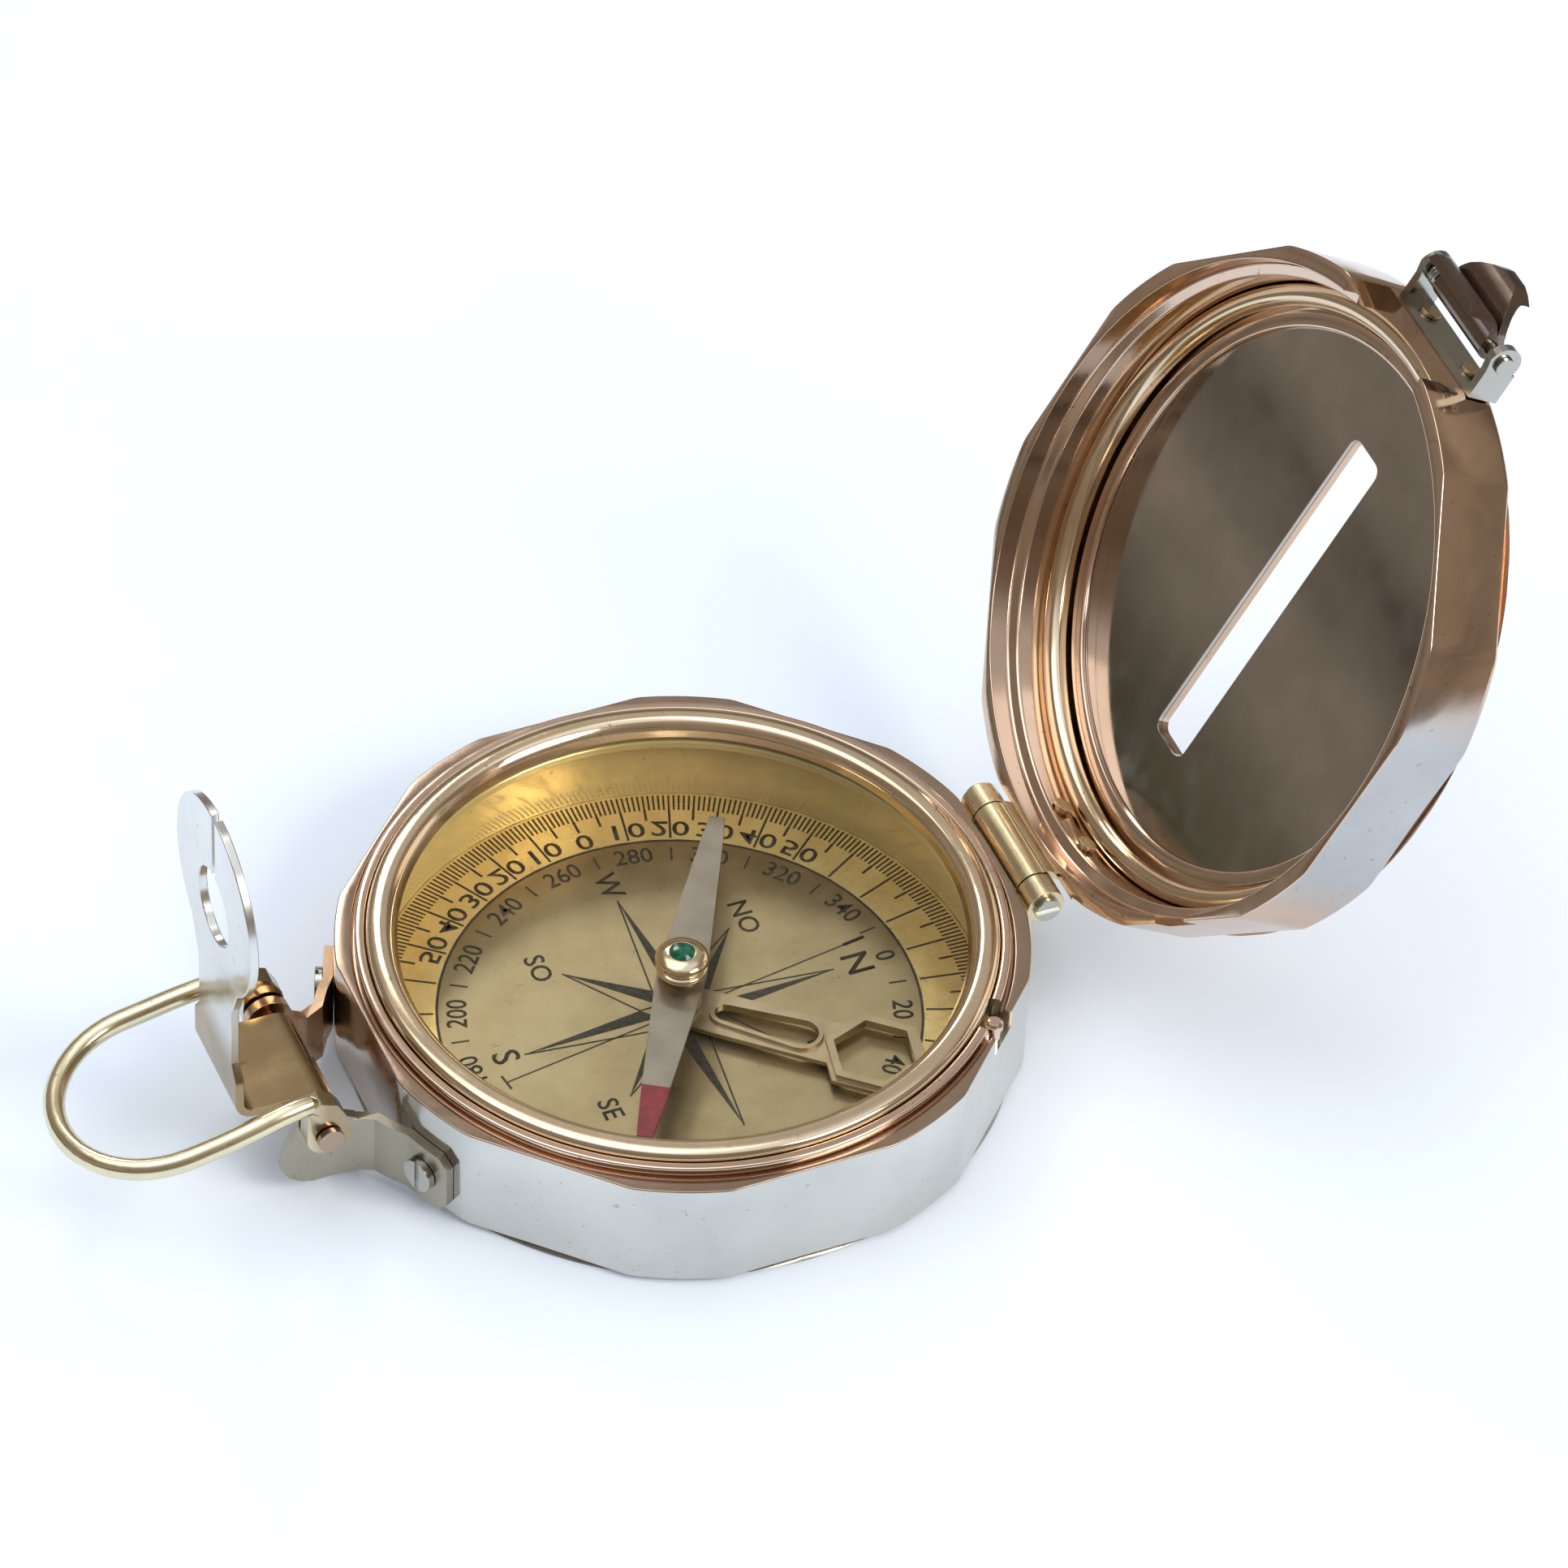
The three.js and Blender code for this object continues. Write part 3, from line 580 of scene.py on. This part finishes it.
# ---- needle hub ---------------------------------------------------------------------------------
def build_hub():
    cap_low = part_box("needle_cap")[0].z / MM
    outline = softened([
        (0, 10.55), (0.75, 9.6), (0.85, cap_low), (1.5, cap_low), (1.5, 8.71), (2.3, 8.71),
        (2.55, 9.3, 0.2), (2.9, 9.7, 0.3), (2.9, 10.1, 0.2), (2.35, 10.42, 0.1), (2.6, 10.7, 0.15),
        (3.0, 11.0, 0.3), (2.95, 11.5, 0.4), (2.3, 11.98, 0.4), (1.42, 12.2, 0.1), (1.4, 11.6, 0),
        (0, 11.6),
    ], 0.1)
    turned("needle_hub", outline, "needle", BRASS, "needle_cap", steps=96)


# ---- engraving ----------------------------------------------------------------------------------
MARK_RISE = 0.025  # how far the filling stands above the metal
MARK_SINK = 0.02
STROKE = 0.008  # thickening of the letters, in letter heights
HALF_POINT = 22.5  # degrees from a point of the star to the root on either side of it
STAR_WAIST = 0.55  # where a point's middle line ends, as a share of the root's radius
STAR_LINE = 0.2


def ray(heading, radius):
    turn = math.radians(heading)
    return Vector((math.cos(turn), math.sin(turn))) * radius


def line(bm, start, end, width, height):
    along = (end - start).normalized()
    side = Vector((-along.y, along.x)) * width / 2
    corners = [start - side, end - side, end + side, start + side]
    slab(bm, corners, height - MARK_SINK, height + MARK_RISE)


def bar(bm, heading, near, far, width, height):
    """A straight mark along a radius."""
    line(bm, ray(heading, near), ray(heading, far), width, height)


def circle_mark(bm, radius, width, height, steps=240):
    """A thin closed ring."""
    rings = []
    for i in range(steps):
        ring = []
        for r, z in ((radius - width / 2, -MARK_SINK), (radius + width / 2, -MARK_SINK),
                     (radius + width / 2, MARK_RISE), (radius - width / 2, MARK_RISE)):
            spot = ray(360 * i / steps, r) * MM
            ring.append(bm.verts.new((spot.x, spot.y, (height + z) * MM)))
        rings.append(ring)
    for i in range(steps):
        here, there = rings[i], rings[(i + 1) % steps]
        for k in range(4):
            n = (k + 1) % 4
            bm.faces.new((here[k], there[k], there[n], here[n]))


def writing(bm, text, heading, radius, cap, height, up, mirrored=False, width=1.0):
    """Characters of a given cap height, centred on a point of the dial, with their tops towards
    the heading named up. A mirrored word is flipped about its own base line."""
    curve = bpy.data.curves.new("text", "FONT")
    curve.body = text
    curve.align_x = "CENTER"
    curve.resolution_u = 3
    curve.offset = STROKE
    holder = bpy.data.objects.new("text", curve)
    bpy.context.scene.collection.objects.link(holder)
    graph = bpy.context.evaluated_depsgraph_get()
    flat = bpy.data.meshes.new_from_object(holder.evaluated_get(graph), depsgraph=graph)
    bpy.data.objects.remove(holder)
    xs = [v.co.x for v in flat.vertices]
    ys = [v.co.y for v in flat.vertices]
    middle = Vector(((min(xs) + max(xs)) / 2, (min(ys) + max(ys)) / 2, 0))
    size = cap / (max(ys) - min(ys))
    flip = -1 if mirrored else 1
    spot = ray(heading, radius) * MM
    place = (
        Matrix.Translation((spot.x, spot.y, (height - MARK_SINK) * MM))
        @ Matrix.Rotation(math.radians(up) - math.pi / 2, 4, "Z")
        @ Matrix.Diagonal((size * MM * width, size * MM * flip, 1, 1))
        @ Matrix.Translation(-middle)
    )
    flat.transform(place)
    letters = bmesh.new()
    letters.from_mesh(flat)
    bmesh.ops.dissolve_limit(
        letters, angle_limit=0.01, verts=letters.verts, edges=letters.edges
    )
    raised = bmesh.ops.extrude_face_region(letters, geom=letters.faces[:])
    lift = Vector((0, 0, (MARK_SINK + MARK_RISE) * MM))
    top = [g for g in raised["geom"] if isinstance(g, bmesh.types.BMVert)]
    bmesh.ops.translate(letters, vec=lift, verts=top)
    solid = bpy.data.meshes.new("letters")
    letters.to_mesh(solid)
    letters.free()
    bm.from_mesh(solid)


def star_point(bm, heading, length, root, height):
    """One ray of the compass rose: a filled half and an outlined half."""
    tip = ray(heading, length)
    base = ray(heading, root * STAR_WAIST)
    left = ray(heading + HALF_POINT, root)
    right = ray(heading - HALF_POINT, root)
    slab(bm, [base, right, tip], height - MARK_SINK, height + MARK_RISE)
    line(bm, left, tip, STAR_LINE, height)
    line(bm, base, left, STAR_LINE, height)


NORTH = 0  # heading of N, and of the tops of the letters
LETTERS = (  # text, heading, radius and height
    ("N", 0, 21.2, 3.1), ("NO", 42, 16.5, 2.35), ("W", 90, 20.9, 2.6), ("SO", 136, 16.8, 2.35),
    ("S", 179, 20.4, 3.1), ("SE", 221, 16.7, 2.35), ("E", 270, 20.9, 2.6), ("NE", 318, 16.7, 2.35),
)
LONG_POINT, SHORT_POINT, STAR_ROOT = 18.4, 14.1, 4.4
PLATE_NUMBER_R, PLATE_CAP = 24.55, 2.3  # numerals every 20 degrees, a tick between each two
NUMBER_SQUEEZE = 0.92
PLATE_TICK = (23.6, 25.6, 0.24)  # radii of its ends, and its width
PLATE_CIRCLE = (26.7, 0.28)  # radius and width
DECLINATION = 8.5  # heading of the fine line engraved beside north
FINE_LINE = 0.18
FINE_START, FINE_NORTH, FINE_SOUTH = 3.2, 23.7, 22
NORTH_HEAD = (21, FINE_NORTH, 0.45)  # the thicker end of the fine line
SOUTH_BAR = (1.1, 0.28)  # half length and width of the short bar across its other end


def engrave_plate():
    bm = bmesh.new()
    top = DIAL_TOP
    for text, heading, radius, cap in LETTERS:
        writing(bm, text, heading, radius, cap, top, NORTH)
    for value in range(0, 360, 20):
        writing(
            bm, str(value), -value, PLATE_NUMBER_R, PLATE_CAP, top, -value, width=NUMBER_SQUEEZE
        )
        bar(bm, -value - 10, *PLATE_TICK, top)
    for k in range(4):
        star_point(bm, 90 * k, LONG_POINT, STAR_ROOT, top)
        star_point(bm, 90 * k + 45, SHORT_POINT, STAR_ROOT, top)
    bar(bm, DECLINATION, FINE_START, FINE_NORTH, FINE_LINE, top)
    bar(bm, DECLINATION, *NORTH_HEAD, top)
    bar(bm, DECLINATION + 180, FINE_START, FINE_SOUTH, FINE_LINE, top)
    tail = ray(DECLINATION + 180, FINE_SOUTH)
    across = ray(DECLINATION + 90, SOUTH_BAR[0])
    line(bm, tail - across, tail + across, SOUTH_BAR[1], top)
    circle_mark(bm, *PLATE_CIRCLE, top)
    mesh = mesh_from(bm, "plate_marks")
    piece("plate_marks", mesh, "case", [INK])


RING_ZERO = 90  # heading where the clinometer scale starts, both ways
RING_TENS = range(10, 60, 10)
RING_NUMBER_R, RING_ZERO_R, RING_CAP = 28.6, 28.2, 2.3
RING_STRETCH = 1.3  # the ring's digits are wide
DIGIT_TURN = 2.4  # degrees from a tens mark to the digit on either side of it
MARK_IN, MARK_OUT, MARK_WIDTH = 31.6, 33.9, 0.22  # the one degree marks
# The longer marks carry on inwards from MARK_IN to these radii, at these widths.
FIVES_MARK, TENS_MARK, ZERO_MARK = (30.0, 0.28), (27.1, 0.26), (29.8, 0.3)


def engrave_ring():
    bm = bmesh.new()
    top = RING_TOP
    for degree in range(360):
        bar(bm, degree, MARK_IN, MARK_OUT, MARK_WIDTH, top)
        if degree % 5:
            continue
        longer = TENS_MARK if degree % 10 == 0 else FIVES_MARK
        if degree == RING_ZERO:
            longer = ZERO_MARK
        bar(bm, degree, longer[0], MARK_IN, longer[1], top)
    style = {"mirrored": True, "width": RING_STRETCH}
    writing(bm, "0", RING_ZERO, RING_ZERO_R, RING_CAP, top, RING_ZERO, **style)
    for value in RING_TENS:
        for side in (1, -1):
            heading = RING_ZERO + side * value
            for digit, place in zip(str(value), (DIGIT_TURN, -DIGIT_TURN)):
                spot = heading + place
                writing(bm, digit, spot, RING_NUMBER_R, RING_CAP, top, heading, **style)
    mesh = mesh_from(bm, "ring_marks")
    piece("ring_marks", mesh, "case", [INK])


# ---- CAD pieces that keep their own shape -------------------------------------------------------
FINISHES = {
    "dial_plate": DIAL, "scale_ring": SCALE, "pivot_post": BRASS, "arm_collar": BRASS,
    "glass_seat": GOLD_PAINTED_LIGHT, "glass": PANE, "lifter_pin": ROSE, "base_hinge_leaf": HINGE_BRASS,
    "hinge_pin": PALE_BRASS, "hinge_screw_1": OLD_BRASS, "hinge_screw_2": OLD_BRASS,
    "bracket_strap": STRAP, "strap_screw_1": PALE_BRASS, "strap_screw_2": PALE_BRASS,
    "sight_axle": BAND, "sight_vane": VANE, "finger_loop": LOOP_BRASS, "needle_blade": NEEDLE,
    "needle_tip": RED, "needle_jewel": JEWEL, "clinometer_arm": STAMPED, "mirror": MIRROR,
    "lid_hinge_leaf": HINGE_BRASS, "lid_rivet_1": OLD_BRASS, "lid_rivet_2": OLD_BRASS,
    "latch_bracket": PALE_BRASS, "latch_rivet_1": OLD_BRASS, "latch_rivet_2": OLD_BRASS,
    "latch_pin": PALE_BRASS, "latch_lever": BROWN, "latch_spring": SPRING,
}
SOFT_EDGE = {  # edge rounding in mm, where it is not the usual one
    "sight_vane": 0.16, "bracket_strap": 0.14, "finger_loop": 0.2, "clinometer_arm": 0.1,
    "latch_lever": 0.15, "latch_bracket": 0.12, "needle_blade": 0.04, "needle_tip": 0.04,
}
USUAL_EDGE = 0.08
PLAIN = ("glass", "needle_jewel", "latch_spring", "dial_plate", "scale_ring")  # sharp edges


def dress(node, material):
    """Gives a CAD node its material, smooth shading and slightly rounded edges."""
    thing = NODES[node]
    mesh = thing.data
    mesh.materials.clear()
    mesh.materials.append(material)
    mesh.polygons.foreach_set("use_smooth", [True] * len(mesh.polygons))
    bpy.context.view_layer.objects.active = thing
    if mesh.has_custom_normals:
        bpy.ops.mesh.customdata_custom_splitnormals_clear()
    weld = thing.modifiers.new("weld", "WELD")
    weld.merge_threshold = 1e-6
    flatten = thing.modifiers.new("flatten", "DECIMATE")
    flatten.decimate_type = "DISSOLVE"
    flatten.angle_limit = math.radians(0.5)
    if node not in PLAIN:
        bevel = thing.modifiers.new("edges", "BEVEL")
        bevel.width = SOFT_EDGE.get(node, USUAL_EDGE) * MM
        bevel.segments = 2
        bevel.limit_method = "ANGLE"
        bevel.angle_limit = CREASE
        bevel.harden_normals = True
    else:
        split = thing.modifiers.new("creases", "EDGE_SPLIT")
        split.split_angle = CREASE


# ---- studio -------------------------------------------------------------------------------------
AIM = Vector((0.0112, 0.0, 0.0339))
CAMERA_DISTANCE = 0.982
CAMERA_AZIMUTH = -24.71
CAMERA_ELEVATION = 44.36
CAMERA_ROLL = 2.81
LENS = 209.07
DOME = (0.67, 0.745, 0.84)  # even light from all round
ROOM = (
    (0.0, (0.26, 0.20, 0.15)), (0.40, (0.30, 0.235, 0.175)), (0.70, (0.24, 0.19, 0.145)),
    (0.90, (0.38, 0.33, 0.28)), (1.0, (1.0, 1.03, 1.08)),
)
PATCH = (0.50, 0.47, 0.43)
PATCH_TOWARDS = Vector((0.30, 0.65, 0.70)).normalized()  # where level polished tops look
WINDOW_TOWARDS = Vector((0.10, 0.75, 0.65)).normalized()
FILL_TOWARDS = Vector((0.45, -0.65, 0.62)).normalized()
MIDDLE = (0, 0, 0.02)  # the place on the compass that those two lights face
FLOOR_HALF = 3000
SURROUND_R, SURROUND_THICKNESS, SURROUND_HEIGHT = 300, 4, 190


def build_camera():
    azimuth = math.radians(CAMERA_AZIMUTH)
    elevation = math.radians(CAMERA_ELEVATION)
    back = Vector((
        math.sin(azimuth) * math.cos(elevation),
        -math.cos(azimuth) * math.cos(elevation),
        math.sin(elevation),
    ))
    right = Vector((0, 0, 1)).cross(back).normalized()
    roll = Matrix.Rotation(math.radians(CAMERA_ROLL), 3, back)
    right = roll @ right
    up = back.cross(right)
    data = bpy.data.cameras.new("camera")
    data.lens = LENS
    data.sensor_width = 36
    data.clip_start = 0.01
    data.clip_end = 50
    camera = bpy.data.objects.new("camera", data)
    bpy.context.scene.collection.objects.link(camera)
    turn = Matrix((right, up, back)).transposed().to_4x4()
    camera.matrix_world = Matrix.Translation(AIM + back * CAMERA_DISTANCE) @ turn
    bpy.context.scene.camera = camera


def soft_light(name, place, target, size, power, colour):
    """A rectangular lamp, sized in metres and with its power in watts."""
    data = bpy.data.lights.new(name, "AREA")
    data.shape = "RECTANGLE"
    data.size, data.size_y = size
    data.energy = power
    data.color = colour
    lamp = bpy.data.objects.new(name, data)
    bpy.context.scene.collection.objects.link(lamp)
    lamp.location = place
    lamp.rotation_euler = (Vector(place) - Vector(target)).to_track_quat("Z", "Y").to_euler()
    return lamp


def build_world():
    """Even pale light on the scene; polished metal sees a dim room with one lighter patch."""
    world = bpy.data.worlds.new("studio")
    bpy.context.scene.world = world
    sky = Shader("studio", world)
    inputs = {0: sky.noise(1.6, 2), 1: 0.25, 2: sky.along("Z")}
    uneven = sky.node("ShaderNodeMath", inputs, operation="MULTIPLY_ADD").outputs[0]
    room = sky.ramp(uneven, *ROOM)
    inputs = {0: sky.place, 1: PATCH_TOWARDS}
    toward = sky.node("ShaderNodeVectorMath", inputs, operation="DOT_PRODUCT").outputs["Value"]
    lit_room = sky.mix(sky.span(toward, 0.80, 0.96, 0, 1), room, PATCH)
    seen = sky.node("ShaderNodeLightPath").outputs["Is Glossy Ray"]
    light = sky.node("ShaderNodeBackground", {"Color": sky.mix(seen, DOME, lit_room)})
    sky.node("ShaderNodeOutputWorld", {"Surface": light.outputs["Background"]})


def build_studio():
    bm = bmesh.new()
    half = FLOOR_HALF
    slab(bm, [(-half, -half), (half, -half), (half, half), (-half, half)], -20, -0.02)
    floor = bpy.data.objects.new("floor", mesh_from(bm, "floor"))
    floor.data.materials.append(FLOOR)
    bpy.context.scene.collection.objects.link(floor)

    soft_light("overhead", (-0.35, 0.3, 1.5), (0, 0, 0), (1.2, 1.2), 5, (0.98, 0.99, 1.0))
    soft_light("fill", FILL_TOWARDS * 1.6, MIDDLE, (0.7, 0.7), 12, (1.0, 0.985, 0.96))
    soft_light("window", WINDOW_TOWARDS * 1.5, MIDDLE, (0.3, 0.3), 2.3, (1.0, 0.985, 0.95))
    build_surround()


def build_surround():
    """A mottled brown wall round the table that only reflections see, so that polished metal
    has depth. Its foot is darker and greener where the mirror looks."""
    shader = Shader("surround")
    streaks = shader.noise(3, 4, 0.6, stretch=(1, 1, 6), distortion=0.8)
    wall = shader.ramp(streaks, (0.36, (0.10, 0.084, 0.07)), (0.64, (0.41, 0.355, 0.295)))
    leaves = shader.ramp(
        shader.noise(9, 4), (0.35, (0.035, 0.04, 0.018)), (0.65, (0.12, 0.115, 0.065))
    )
    low = shader.span(shader.along("Z"), 0.0, 0.03, 1, 0)
    behind = shader.span(shader.along("X"), -0.06, -0.16, 0, 1)
    green = shader.node("ShaderNodeMath", {0: low, 1: behind}, operation="MULTIPLY").outputs[0]
    glow = shader.node("ShaderNodeEmission", {"Color": shader.mix(green, wall, leaves)})
    shader.output(glow.outputs["Emission"])
    low_in, low_out = Vector((SURROUND_R, 0)), Vector((SURROUND_R + SURROUND_THICKNESS, 0))
    up = Vector((0, SURROUND_HEIGHT))
    outline = [low_in, low_out, low_out + up, low_in + up]
    wall_ring = bpy.data.objects.new("surround", lathe("surround", outline, 96))
    wall_ring.data.materials.append(shader.material)
    bpy.context.scene.collection.objects.link(wall_ring)
    wall_ring.visible_camera = False
    wall_ring.visible_diffuse = False
    wall_ring.visible_shadow = False
    wall_ring.visible_transmission = False


# ---- assembly -----------------------------------------------------------------------------------
build_camera()
build_world()
build_studio()
build_case()
build_lid()
build_hub()
engrave_plate()
engrave_ring()
for node_name, node_material in FINISHES.items():
    dress(node_name, node_material)

scene = bpy.context.scene
scene.view_settings.view_transform = "Standard"
scene.view_settings.look = "None"
scene.view_settings.exposure = 0.0
